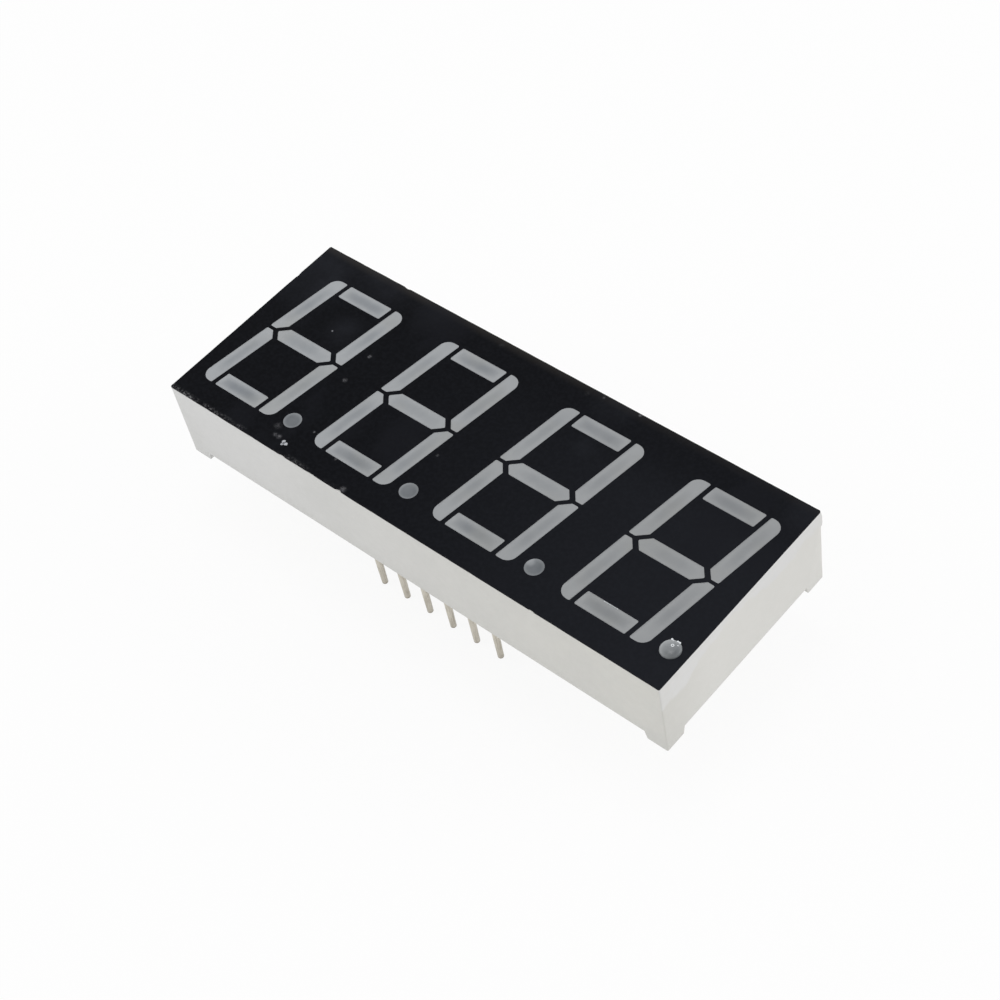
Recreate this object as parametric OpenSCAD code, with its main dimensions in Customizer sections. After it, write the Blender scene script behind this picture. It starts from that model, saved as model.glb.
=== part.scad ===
// Four-digit seven segment display module with right-hand decimal points.
// A moulded housing with light wells, closed at the front by a black face film
// and filled with milky resin, stands over a circuit board that carries one LED
// die for each segment. Twelve round pins leave the back in two rows.
// The origin is the centre of the pin grid on the plane of the four feet,
// +X runs along the row of digits, +Y to their tops and +Z to the viewer.

/* [Housing] */
// Width of the housing across the digits
body_w = 19; // [16:0.1:26]
// Height from the feet to the viewing face
body_h = 8; // [7:0.1:12]
// Clearance at each end, so that modules stand side by side on the digit pitch
end_clear = 0.05; // [0.05:0.05:0.4]
// Thickness of the outer wall around the board
wall = 0.8; // [0.5:0.05:0.95]
// Radius of the upright outer edges
edge_r = 0.15; // [0.1:0.05:0.8]
// Radius of the upright inner edges and of the board's corners
inner_r = 0.4; // [0.2:0.05:1]
// Thickness of the black face film
film_t = 0.1; // [0.05:0.01:0.3]

/* [Feet] */
// Length of a foot along each wall, at its sole
foot_l = 1.9; // [1.2:0.1:4]
// Height of the feet
foot_h = 0.8; // [0.4:0.1:1]
// How much longer a foot is at its root than at its sole
foot_draft = 0.2; // [0.05:0.05:0.5]

/* [Digits] */
// Distance from one digit to the next
digit_pitch = 12.6; // [12.4:0.05:16]
// Height of a digit
digit_h = 14.2; // [12:0.1:16]
// Width of a digit before it leans
digit_w = 8.21; // [7:0.01:9]
// How far the digits stand left of the middle of their cells
digit_left = 0.01; // [0:0.01:0.3]
// How far the digits stand below the middle of the face
digit_low = 0.11; // [0:0.01:0.5]
// Lean of the digits to the right, in degrees
lean_angle = 7.8; // [4:0.1:12]
// Width of the four upright segments
limb_w = 1.36; // [1.1:0.01:1.7]
// Thickness of the three level segments
bar_t = 1.45; // [1.1:0.01:1.8]
// Gap between neighbouring segments
segment_gap = 0.42; // [0.25:0.01:0.6]
// Gap between an upper and a lower upright segment
split_gap = 0.32; // [0.2:0.01:0.6]
// Level stretch at the split, before the bevel beside the middle segment
split_flat = 0.65; // [0.4:0.05:0.9]
// Radius of a digit's four outer corners
outer_corner_r = 0.9; // [0.4:0.05:1.2]
// Radius of all other segment corners
segment_corner_r = 0.12; // [0.05:0.01:0.15]
// Diameter of a decimal point
dot_d = 1.53; // [1.3:0.01:1.8]
// Distance from a decimal point's centre to the end clearance of its digit cell
dot_inset = 1.36; // [1.35:0.01:2]
// How far the decimal points stand above the feet of the digits
dot_rise = 0.05; // [0:0.01:0.3]

/* [Light wells] */
// Depth over which a well keeps the shape of its window
well_land = 0.6; // [0.2:0.05:2]
// Room around the die and wire pads along a well's foot
well_room_l = 0.65; // [0.3:0.05:1]
// Room around the die and wire pads across a well's foot
well_room_w = 0.25; // [0.1:0.05:0.28]

/* [Board] */
// Thickness of the circuit board
board_t = 1; // [0.6:0.1:1.6]
// Clearance between the board's edge and the housing wall
board_clear = 0.1; // [0.05:0.01:0.15]
// Thickness of the copper pads and tracks
copper_t = 0.035; // [0.02:0.005:0.07]
// Side of the square pad under a die
die_pad = 0.5; // [0.4:0.05:0.55]
// Side of the square pad that takes the bond wire
wire_pad = 0.4; // [0.2:0.05:0.45]
// Gap between the two pads
pad_gap = 0.2; // [0.1:0.05:0.3]
// Width of the ring of copper around a pin's hole
land_ring = 0.25; // [0.15:0.01:0.3]
// Width of a track on the back of the board
track_w = 0.4; // [0.2:0.05:0.8]
// Length of a track from its land's centre to the via
track_l = 2.2; // [1.5:0.1:3]
// Diameter of a via's pad
via_d = 0.9; // [0.6:0.05:1.2]

/* [Dies and wires] */
// Side of a square LED die
die_side = 0.3; // [0.2:0.02:0.36]
// Height of a die
die_h = 0.2; // [0.1:0.02:0.3]
// Diameter of a bond wire
wire_d = 0.04; // [0.03:0.005:0.06]
// Height of a bond wire's loop over its two ends
wire_loop = 0.22; // [0.12:0.02:0.4]

/* [Pins] */
// Diameter of a pin's round free end
pin_d = 0.5; // [0.4:0.05:0.6]
// Length of a pin below the plane of the feet
pin_l = 6.2; // [3:0.1:12]
// Side of a pin's square shank in the board
shank = 0.5; // [0.4:0.05:0.6]
// Rounding of a pin's tip
tip_r = 0.15; // [0.05:0.01:0.18]
// Distance between neighbouring pins of a row
pin_pitch = 2.54; // [2, 2.54]
// Distance from a row of pins to the outside of the long wall beside it
row_inset = 1.88; // [1.6:0.01:4]
// Clearance between the corners of a shank and its hole
hole_clear = 0.05; // [0.03:0.01:0.1]
// Height of a solder cone on its land
solder_h = 0.6; // [0.3:0.05:0.8]
// Width of bare land left around a solder cone's foot
solder_foot = 0.05; // [0.02:0.01:0.1]
// Width of a solder cone's top beyond the hole
solder_top = 0.02; // [0:0.01:0.1]

/* [Resin] */
// Thickness of the resin poured over the back of the board
resin_t = 1; // [0.9:0.05:2]
// How deep the resin's surface lies inside the housing's rim
resin_recess = 0.3; // [0.1:0.05:0.6]

/* [Hidden] */
$fn = 48;
digit_count = 4;
pins_per_row = 6;
pin_count = 2 * pins_per_row;
LIMBS = ["b", "c", "e", "f"];
SEGMENTS = ["a", "b", "c", "d", "e", "f", "g"];
DOT = "dot";
LIGHTS = concat(SEGMENTS, [DOT]);

// Flats along a large and a small rounded corner, and steps and sides of a wire
corner_steps = 6;
small_corner_steps = 2;
wire_steps = 5;
wire_sides = 6;
// How far a cut runs past the surface that it opens
past = 0.5;

body_l = digit_count * digit_pitch - 2 * end_clear;
row_pitch = body_w - 2 * row_inset;
hole_d = shank * sqrt(2) + 2 * hole_clear;
land_d = hole_d + 2 * land_ring;
inner_l = body_l - 2 * wall;
inner_w = body_w - 2 * wall;
board_l = inner_l - 2 * board_clear;
board_w = inner_w - 2 * board_clear;

// Levels, from the feet up
rim_z = foot_h;
resin_z = rim_z + resin_recess;
board_back_z = resin_z + resin_t;
board_front_z = board_back_z + board_t;
film_z = body_h - film_t;

// Half sizes of an upright digit and of its level segments
half_w = digit_w / 2;
half_h = digit_h / 2;
bar_half = half_w - limb_w - segment_gap;
// A bevel of 45 degrees leaves the same gap beside the pointed middle segment
middle_half = half_w - split_flat + split_gap / 2 - segment_gap * sqrt(2);
split_bevel = limb_w - split_flat;

// Pads lie in a line: die pad, gap, wire pad
pads_l = die_pad + pad_gap + wire_pad;
die_x = (die_pad - pads_l) / 2;
wire_x = (pads_l - wire_pad) / 2;
well_l = pads_l + 2 * well_room_l;
well_w = max(die_pad, wire_pad) + 2 * well_room_w;
dot_x = digit_pitch / 2 - end_clear - dot_inset;
dot_y = dot_d / 2 + dot_rise - half_h - digit_low;

function segment_name(k, s) = str("digit_", k, "_segment_", s);
function dot_name(k) = str("digit_", k, "_decimal_point");
function dies_name(k) = str("digit_", k, "_led_dies");
function wires_name(k) = str("digit_", k, "_bond_wires");
function pin_name(p) = str("pin_", p);

// Outlines of the segments, as corners [x, y, radius] of an upright digit
function is_limb(s) = len([for (limb = LIMBS) if (limb == s) limb]) > 0;
function turned(list) = [for (i = [len(list) - 1 : -1 : 0]) list[i]];
function flipped(list, x, y) =
    let (moved = [for (p = list) [x * p[0], y * p[1], p[2]]])
    x * y > 0 ? moved : turned(moved);
function bar_corners() =
    let (r = segment_corner_r)
    [
        [-bar_half, half_h - bar_t, r], [bar_half, half_h - bar_t, r],
        [bar_half, half_h, r], [-bar_half, half_h, r]
    ];
function limb_corners() =
    let (r = segment_corner_r, low = split_gap / 2)
    [
        [-half_w, low, r], [split_flat - half_w, low, r],
        [limb_w - half_w, low + split_bevel, r], [limb_w - half_w, half_h, r],
        [-half_w, half_h, outer_corner_r]
    ];
function middle_corners() =
    let (r = segment_corner_r, t = bar_t / 2, m = middle_half)
    [[-m, 0, r], [t - m, -t, r], [m - t, -t, r], [m, 0, r], [m - t, t, r], [t - m, t, r]];
function corners(s) =
    s == "a" ? bar_corners()
    : s == "d" ? flipped(bar_corners(), 1, -1)
    : s == "f" ? limb_corners()
    : s == "b" ? flipped(limb_corners(), -1, 1)
    : s == "e" ? flipped(limb_corners(), 1, -1)
    : s == "c" ? flipped(limb_corners(), -1, -1)
    : middle_corners();

// A corner's rounding, from the side before it to the side after it
function unit(v) = v / norm(v);
function rounded(before, corner, after, r, steps) =
    let (
        u = unit(before - corner),
        v = unit(after - corner),
        half = acos(u * v) / 2,
        centre = corner + unit(u + v) * r / sin(half),
        first = corner + u * r / tan(half) - centre,
        start = atan2(first[1], first[0]),
        step = (180 - 2 * half) / steps
    )
    [for (i = [0 : steps]) centre + r * [cos(start + step * i), sin(start + step * i)]];
// Leaning a point of the upright digit, and setting it upright again
function leaned(p) = [p[0] + p[1] * tan(lean_angle), p[1]];
function upright(p) = [p[0] - p[1] * tan(lean_angle), p[1]];
// A segment's outline in the leaning digit
function outline(s) =
    let (list = corners(s), n = len(list), at = [for (p = list) leaned(p)])
    [
        for (i = [0 : n - 1])
            let (r = list[i][2], steps = r > segment_corner_r ? corner_steps : small_corner_steps)
            each rounded(at[(i + n - 1) % n], at[i], at[(i + 1) % n], r, steps)
    ];

// Middle and size of a segment's box, and its outline shrunk to the foot of its well
function low(list, axis) = min([for (p = list) p[axis]]);
function high(list, axis) = max([for (p = list) p[axis]]);
function middle(s) =
    let (list = corners(s))
    [for (axis = [0, 1]) (low(list, axis) + high(list, axis)) / 2];
function extent(s) =
    let (list = corners(s))
    [for (axis = [0, 1]) high(list, axis) - low(list, axis)];
function foot_outline(s) =
    let (
        c = middle(s),
        size = extent(s),
        foot = is_limb(s) ? [well_w, well_l] : [well_l, well_w],
        f = [foot[0] / size[0], foot[1] / size[1]]
    )
    [
        for (p = outline(s))
            let (q = upright(p))
            leaned([c[0] + f[0] * (q[0] - c[0]), c[1] + f[1] * (q[1] - c[1])])
    ];

// The place of each digit, light and pin
function cell_x(k) = (k - (digit_count + 1) / 2) * digit_pitch;
function digit_at(k) = [cell_x(k) - digit_left, -digit_low];
function light_at(k, s) =
    s == DOT ? [cell_x(k) + dot_x, dot_y] : digit_at(k) + leaned(middle(s));
function light_turn(s) = s == DOT ? 90 : is_limb(s) ? 90 - lean_angle : 0;
function pin_at(p) =
    let (
        i = (p - 1) % pins_per_row,
        x = (i - (pins_per_row - 1) / 2) * pin_pitch
    )
    p <= pins_per_row ? [x, -row_pitch / 2] : [-x, row_pitch / 2];

// A ring of points at one level, and the solid through a stack of rings
function level(list, z) = [for (p = list) [each p, z]];
function well_rings(s) = [
    level(foot_outline(s), board_front_z),
    level(outline(s), body_h - well_land),
    level(outline(s), body_h)
];
module loft(rings) {
    n = len(rings[0]);
    last = (len(rings) - 1) * n;
    points = [for (ring = rings) each ring];
    sides = [
        for (j = [0 : len(rings) - 2])
            for (i = [0 : n - 1])
                let (a = j * n + i, b = j * n + (i + 1) % n)
                each [[a, a + n, b + n], [a, b + n, b]]
    ];
    foot = [[for (i = [0 : n - 1]) i]];
    head = [[for (i = [n - 1 : -1 : 0]) last + i]];
    polyhedron(points = points, faces = concat(foot, sides, head));
}

module rounded_rectangle(l, w, r) {
    square([l - 2 * r, w], center = true);
    square([l, w - 2 * r], center = true);
    for (x = [-1, 1])
        for (y = [-1, 1])
            translate([x * (l / 2 - r), y * (w / 2 - r)])
                circle(r);
}

// A block with rounded upright edges between two levels
module block(l, w, r, z0, z1) {
    translate([0, 0, z0])
        linear_extrude(z1 - z0)
            rounded_rectangle(l, w, r);
}

// The light's full depth, from the board to the viewing face
module light_well(k, s) {
    if (s == DOT)
        translate([each light_at(k, s), board_front_z])
            cylinder(h = body_h - board_front_z, d = dot_d);
    else
        translate([each digit_at(k), 0])
            loft(well_rings(s));
}

// Puts what stands on the board under a light, with its own x axis along the pads
module on_board(k, s) {
    translate([each light_at(k, s), board_front_z])
        rotate(light_turn(s))
            children();
}

module pad(side, x, below = 0) {
    translate([x - side / 2, -side / 2, -below])
        cube([side, side, copper_t + below]);
}

module pad_pair(below = 0) {
    pad(die_pad, die_x, below);
    pad(wire_pad, wire_x, below);
}

module die() {
    translate([die_x - die_side / 2, -die_side / 2, copper_t])
        cube([die_side, die_side, die_h]);
}

// The wire rises straight from the die and comes down straight on its pad
module bond_wire() {
    rise = copper_t + die_h;
    run = wire_x - die_x;
    rings = [
        for (i = [0 : wire_steps])
            let (
                t = 180 * i / wire_steps,
                share = (1 - cos(t)) / 2,
                at = [die_x + run * share, 0, rise - die_h * share + wire_loop * sin(t)],
                along = unit([run * sin(t) / 2, 0, wire_loop * cos(t) - die_h * sin(t) / 2]),
                side = [0, 1, 0],
                up = cross(along, side)
            )
            [
                for (j = [0 : wire_sides - 1])
                    let (a = 360 * j / wire_sides)
                    at + wire_d / 2 * (cos(a) * side + sin(a) * up)
            ]
    ];
    loft(rings);
}

// Resin that fills one light well around the die, its pads and its wire
module light_plug(k, s) {
    color("lightsteelblue")
        difference() {
            light_well(k, s);
            on_board(k, s) {
                pad_pair(past);
                die();
                bond_wire();
            }
        }
}

// Relief cut between the feet, across the whole housing
module foot_relief(span, across) {
    half = span / 2 - foot_l;
    slope = foot_draft / foot_h;
    rotate([90, 0, 0])
        linear_extrude(across + 2 * past, center = true)
            polygon([
                [-half - slope * past, -past], [half + slope * past, -past],
                [half - foot_draft, foot_h], [foot_draft - half, foot_h]
            ]);
}

module reflector_housing() {
    color("gainsboro")
        difference() {
            block(body_l, body_w, edge_r, 0, film_z);
            block(inner_l, inner_w, inner_r, -past, board_front_z);
            foot_relief(body_l, body_w);
            rotate(90)
                foot_relief(body_w, body_l);
            for (k = [1 : digit_count])
                for (s = LIGHTS)
                    light_well(k, s);
        }
}

module face_film() {
    color("black")
        translate([0, 0, film_z])
            linear_extrude(film_t)
                difference() {
                    rounded_rectangle(body_l, body_w, edge_r);
                    for (k = [1 : digit_count]) {
                        for (s = SEGMENTS)
                            translate(digit_at(k))
                                polygon(outline(s));
                        translate(light_at(k, DOT))
                            circle(d = dot_d);
                    }
                }
}

module pin_holes(d, z0, z1) {
    for (p = [1 : pin_count])
        translate([each pin_at(p), z0])
            cylinder(h = z1 - z0, d = d);
}

module circuit_board() {
    color("olivedrab")
        difference() {
            block(board_l, board_w, inner_r, board_back_z, board_front_z);
            pin_holes(hole_d, board_back_z - past, board_front_z + past);
        }
}

module front_pads() {
    color("goldenrod")
        for (k = [1 : digit_count])
            for (s = LIGHTS)
                on_board(k, s)
                    pad_pair();
}

// A solder land with its track and via, all in one plane
module land(p) {
    inward = pin_at(p)[1] < 0 ? 1 : -1;
    translate(pin_at(p)) {
        circle(d = land_d);
        translate([-track_w / 2, inward < 0 ? -track_l : 0])
            square([track_w, track_l]);
        translate([0, inward * track_l])
            circle(d = via_d);
    }
}

module back_tracks(bored = true) {
    color("goldenrod")
        difference() {
            translate([0, 0, board_back_z - copper_t])
                linear_extrude(copper_t)
                    for (p = [1 : pin_count])
                        land(p);
            if (bored)
                pin_holes(hole_d, board_back_z - copper_t - past, board_back_z + past);
        }
}

module shank_at(p, z0, z1) {
    translate([each pin_at(p), z0])
        linear_extrude(z1 - z0)
            square(shank, center = true);
}

// One solder joint: a cone on the land and the filling of the hole
module solder_body(p) {
    foot_z = board_back_z - copper_t;
    translate([each pin_at(p), foot_z - solder_h])
        cylinder(h = solder_h, d1 = hole_d + 2 * solder_top, d2 = land_d - 2 * solder_foot);
    translate([each pin_at(p), foot_z])
        cylinder(h = board_front_z - foot_z, d = hole_d);
}

module solder_joints() {
    color("silver")
        for (p = [1 : pin_count])
            difference() {
                solder_body(p);
                shank_at(p, rim_z, board_front_z + past);
            }
}

module back_resin() {
    color("whitesmoke")
        difference() {
            block(inner_l, inner_w, inner_r, resin_z, board_front_z);
            block(board_l, board_w, inner_r, board_back_z, board_front_z + past);
            back_tracks(bored = false);
            for (p = [1 : pin_count]) {
                solder_body(p);
                shank_at(p, rim_z, board_back_z);
            }
        }
}

module led_dies(k) {
    color("dimgray")
        for (s = LIGHTS)
            on_board(k, s)
                die();
}

module bond_wires(k) {
    color("gold")
        for (s = LIGHTS)
            on_board(k, s)
                bond_wire();
}

// A round pin with a rounded tip and a square shank
module pin(p) {
    tip_z = -pin_l;
    flat_r = pin_d / 2 - tip_r;
    color("silver") {
        translate([each pin_at(p), 0]) {
            translate([0, 0, tip_z + tip_r])
                cylinder(h = rim_z - tip_z - tip_r, d = pin_d);
            translate([0, 0, tip_z])
                rotate_extrude() {
                    square([flat_r, tip_r]);
                    intersection() {
                        translate([flat_r, tip_r])
                            circle(tip_r);
                        translate([flat_r, 0])
                            square(tip_r);
                    }
                }
        }
        shank_at(p, rim_z, board_front_z);
    }
}

reflector_housing();
face_film();
circuit_board();
front_pads();
back_tracks();
solder_joints();
back_resin();
for (k = [1 : digit_count]) {
    for (s = SEGMENTS)
        light_plug(k, s);
    light_plug(k, DOT);
    led_dies(k);
    bond_wires(k);
}
for (p = [1 : pin_count])
    pin(p);
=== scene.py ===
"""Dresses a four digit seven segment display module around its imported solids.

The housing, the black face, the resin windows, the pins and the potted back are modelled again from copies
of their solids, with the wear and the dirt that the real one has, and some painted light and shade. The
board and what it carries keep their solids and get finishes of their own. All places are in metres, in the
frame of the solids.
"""

import logging
import math
from collections.abc import Callable, Iterable, Iterator, Sequence
from dataclasses import dataclass, field
from enum import Enum

import bmesh
import bpy
from mathutils import Matrix, Vector, noise


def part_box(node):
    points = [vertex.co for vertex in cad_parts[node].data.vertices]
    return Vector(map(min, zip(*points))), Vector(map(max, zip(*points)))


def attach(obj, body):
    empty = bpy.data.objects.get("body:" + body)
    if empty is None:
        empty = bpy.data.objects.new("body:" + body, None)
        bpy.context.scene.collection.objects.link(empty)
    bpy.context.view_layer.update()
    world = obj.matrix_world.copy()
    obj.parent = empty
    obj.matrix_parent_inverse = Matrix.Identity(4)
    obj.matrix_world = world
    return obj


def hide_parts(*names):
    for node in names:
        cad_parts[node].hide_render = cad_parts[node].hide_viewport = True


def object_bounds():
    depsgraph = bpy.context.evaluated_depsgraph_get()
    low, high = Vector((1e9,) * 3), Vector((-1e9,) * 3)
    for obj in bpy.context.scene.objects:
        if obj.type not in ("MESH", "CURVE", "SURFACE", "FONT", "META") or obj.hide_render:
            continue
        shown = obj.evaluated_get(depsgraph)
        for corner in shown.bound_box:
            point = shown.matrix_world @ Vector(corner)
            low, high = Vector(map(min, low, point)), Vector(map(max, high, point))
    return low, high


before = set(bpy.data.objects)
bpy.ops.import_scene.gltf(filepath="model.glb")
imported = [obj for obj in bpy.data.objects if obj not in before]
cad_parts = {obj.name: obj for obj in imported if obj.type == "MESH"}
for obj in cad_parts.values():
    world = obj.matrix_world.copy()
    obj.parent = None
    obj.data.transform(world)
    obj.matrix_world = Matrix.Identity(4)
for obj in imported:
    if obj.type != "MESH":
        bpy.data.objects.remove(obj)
SOLID_BOX: tuple[Vector, Vector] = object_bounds()

LOG = logging.getLogger("display_module")
MM = 0.001
BODY = "root"
DIGIT_NUMBERS = range(1, 5)
PIN_NUMBERS = range(1, 13)
UP = Vector((0, 0, 1))
MERGE_DISTANCE = 1e-7
LEVEL_TOLERANCE = 1e-7
FLAT_ANGLE = math.radians(0.4)
SHARP_ANGLE = math.radians(32)

Colour = tuple[float, float, float, float]
Socket = bpy.types.NodeSocket
Number = float | Socket
Paint = Colour | Socket
Pair = tuple[float, float]
Triple = tuple[float, float, float]


def tone(red: int, green: int, blue: int) -> Colour:
    """Turns a colour as a screen shows it, 0 to 255, into the linear colour that a shader takes.

    Args:
        red: Red on the screen.
        green: Green on the screen.
        blue: Blue on the screen.

    Returns:
        The linear colour, with full alpha.
    """

    def linear(value: int) -> float:
        """Undoes the screen's curve for one channel."""
        share = value / 255
        return share / 12.92 if share <= 0.04045 else ((share + 0.055) / 1.055) ** 2.4

    return (linear(red), linear(green), linear(blue), 1.0)


def smooth_step(value: float) -> float:
    """Eases a value from 0 to 1 with flat ends."""
    share = min(1.0, max(0.0, value))
    return share * share * (3 - 2 * share)


def share_of_noise(place: float, seed: float) -> float:
    """Gives smooth noise along a line, as a share from 0 to 1."""
    return 0.5 + 0.5 * noise.noise(Vector((place, seed, 0.0)))


class Slot(Enum):
    """The material slots of the record."""

    HOUSING = "housing"
    FACE_FILM = "face_film"
    SEGMENT_RESIN = "segment_resin"
    BACK_RESIN = "back_resin"
    BOARD = "board"
    COPPER = "copper"
    DIE = "die"
    BOND_WIRE = "bond_wire"
    SOLDER = "solder"
    PIN = "pin"


class Axis(Enum):
    """The three axes, as the names of a separated vector's outputs."""

    X = "X"
    Y = "Y"
    Z = "Z"

    @property
    def index(self) -> int:
        """The axis's place in a vector."""
        return "XYZ".index(self.value)


class NodeSketch:
    """Draws the nodes of one material from short calls, on Object coordinates."""

    def __init__(self, name: str) -> None:
        """Starts a material with a bare shader.

        Args:
            name: The material's name.
        """
        self.material = bpy.data.materials.new(name)
        self.material.use_nodes = True
        self.tree = self.material.node_tree
        self.shader = self.tree.nodes["Principled BSDF"]
        self.place = self.tree.nodes.new("ShaderNodeTexCoord").outputs["Object"]
        self.split = self.tree.nodes.new("ShaderNodeSeparateXYZ")
        self.feed(self.split.inputs[0], self.place)

    def feed(self, socket: Socket, value: Number | Paint) -> None:
        """Links a socket, or sets it where the value is a constant.

        Args:
            socket: The input that takes the value.
            value: Another node's output, or a number or colour.
        """
        if isinstance(value, bpy.types.NodeSocket):
            self.tree.links.new(value, socket)
        else:
            socket.default_value = value

    def set(self, **inputs: Number | Paint) -> None:
        """Feeds the shader's own inputs.

        Args:
            inputs: The values by the inputs' names, with underscores for spaces.
        """
        for name, value in inputs.items():
            self.feed(self.shader.inputs[name.replace("_", " ")], value)

    def along(self, axis: Axis) -> Socket:
        """Gives the place along one axis, in metres."""
        return self.split.outputs[axis.value]

    def attribute(self, name: str) -> Socket:
        """Gives a number that the mesh holds at its points.

        Args:
            name: The attribute's name.

        Returns:
            The number.
        """
        node = self.tree.nodes.new("ShaderNodeAttribute")
        node.attribute_name = name
        return node.outputs["Fac"]

    def stretched(self, scale: Triple) -> Socket:
        """Stretches the place along the axes, for grain with a direction.

        Args:
            scale: Features to the metre along each axis, for noise of scale 1.

        Returns:
            The stretched coordinates.
        """
        node = self.tree.nodes.new("ShaderNodeMapping")
        node.inputs["Scale"].default_value = scale
        self.feed(node.inputs["Vector"], self.place)
        return node.outputs["Vector"]

    def cloud(
        self, scale: float, detail: float = 3.0, rough: float = 0.55, place: Socket | None = None
    ) -> Socket:
        """Gives soft noise from about 0.2 to 0.8.

        Args:
            scale: Features to the metre.
            detail: Layers of finer noise.
            rough: How strong the finer layers are.
            place: Coordinates other than the plain ones.

        Returns:
            The noise value.
        """
        node = self.tree.nodes.new("ShaderNodeTexNoise")
        self.feed(node.inputs["Vector"], place or self.place)
        node.inputs["Scale"].default_value = scale
        node.inputs["Detail"].default_value = detail
        node.inputs["Roughness"].default_value = rough
        return node.outputs[0]

    def cells(self, scale: float) -> Socket:
        """Gives the distance to the nearest of scattered points.

        Args:
            scale: Points to the metre.

        Returns:
            The distance, in shares of the points' spacing.
        """
        node = self.tree.nodes.new("ShaderNodeTexVoronoi")
        self.feed(node.inputs["Vector"], self.place)
        node.inputs["Scale"].default_value = scale
        return node.outputs["Distance"]

    def remap(
        self, value: Number, low: float, high: float, to_low: float = 0.0, to_high: float = 1.0
    ) -> Socket:
        """Eases a value from one range to another, and holds it at the ends.

        Args:
            value: What is mapped.
            low: The value that becomes to_low.
            high: The value that becomes to_high.
            to_low: The result at and before low.
            to_high: The result at and past high.

        Returns:
            The mapped value.
        """
        node = self.tree.nodes.new("ShaderNodeMapRange")
        node.interpolation_type = "SMOOTHSTEP"
        for name, given in zip(("From Min", "From Max", "To Min", "To Max"), (low, high, to_low, to_high)):
            node.inputs[name].default_value = given
        self.feed(node.inputs["Value"], value)
        return node.outputs["Result"]

    def sum(self, operation: str, first: Number, second: Number) -> Socket:
        """Works out one step of arithmetic.

        Args:
            operation: The step, such as ADD or MULTIPLY.
            first: The first value.
            second: The second value.

        Returns:
            The result.
        """
        node = self.tree.nodes.new("ShaderNodeMath")
        node.operation = operation
        self.feed(node.inputs[0], first)
        self.feed(node.inputs[1], second)
        return node.outputs[0]

    def times(self, first: Number, *others: Number) -> Socket:
        """Multiplies values.

        Args:
            first: The first value.
            others: What it is multiplied by.

        Returns:
            The product.
        """
        result = first
        for other in others:
            result = self.sum("MULTIPLY", result, other)
        return result

    def near(self, centre: Triple, radius: float) -> Socket:
        """Says how near a point is to a place.

        Args:
            centre: The place.
            radius: How far around it the nearness reaches.

        Returns:
            The nearness, 1 at the place and 0 past the radius.
        """
        node = self.tree.nodes.new("ShaderNodeVectorMath")
        node.operation = "DISTANCE"
        self.feed(node.inputs[0], self.place)
        node.inputs[1].default_value = centre
        return self.remap(node.outputs["Value"], radius, 0.0)

    def mix(self, share: Number, first: Paint, second: Paint) -> Socket:
        """Mixes two colours.

        Args:
            share: How much of the second colour shows, 0 to 1.
            first: The colour at 0.
            second: The colour at 1.

        Returns:
            The mixed colour.
        """
        node = self.tree.nodes.new("ShaderNodeMix")
        node.data_type = "RGBA"
        self.feed(node.inputs[0], share)
        self.feed(node.inputs[6], first)
        self.feed(node.inputs[7], second)
        return node.outputs[2]

    def bump(self, height: Number, strength: float, distance: float) -> None:
        """Roughens the surface's normal by a height.

        Args:
            height: The height, 0 to 1.
            strength: How much of it counts.
            distance: What a height of 1 stands for, in metres.
        """
        node = self.tree.nodes.new("ShaderNodeBump")
        node.inputs["Strength"].default_value = strength
        node.inputs["Distance"].default_value = distance
        self.feed(node.inputs["Height"], height)
        self.feed(self.shader.inputs["Normal"], node.outputs["Normal"])


@dataclass(frozen=True)
class Finish:
    """A surface finish: its name, its base colour, and how it takes light."""

    name: str
    base: Colour
    roughness: float
    specular: float = 0.5
    metallic: float = 0.0

    def material(self) -> bpy.types.Material:
        """Makes the finish's material at the first call.

        Returns:
            The material.
        """
        made = bpy.data.materials.get(self.name)
        if made is not None:
            return made
        sketch = NodeSketch(self.name)
        sketch.set(Base_Color=self.base, Roughness=self.roughness, Metallic=self.metallic)
        sketch.set(Specular_IOR_Level=self.specular)
        self.draw(sketch)
        return sketch.material

    def draw(self, sketch: NodeSketch) -> None:
        """Adds what varies over the surface.

        Args:
            sketch: The material's nodes.
        """
        raise NotImplementedError


@dataclass(frozen=True)
class Spot:
    """A mark on the black face: its place in metres, its radius and how strong it is."""

    x: float
    y: float
    radius: float
    strength: float


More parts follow.
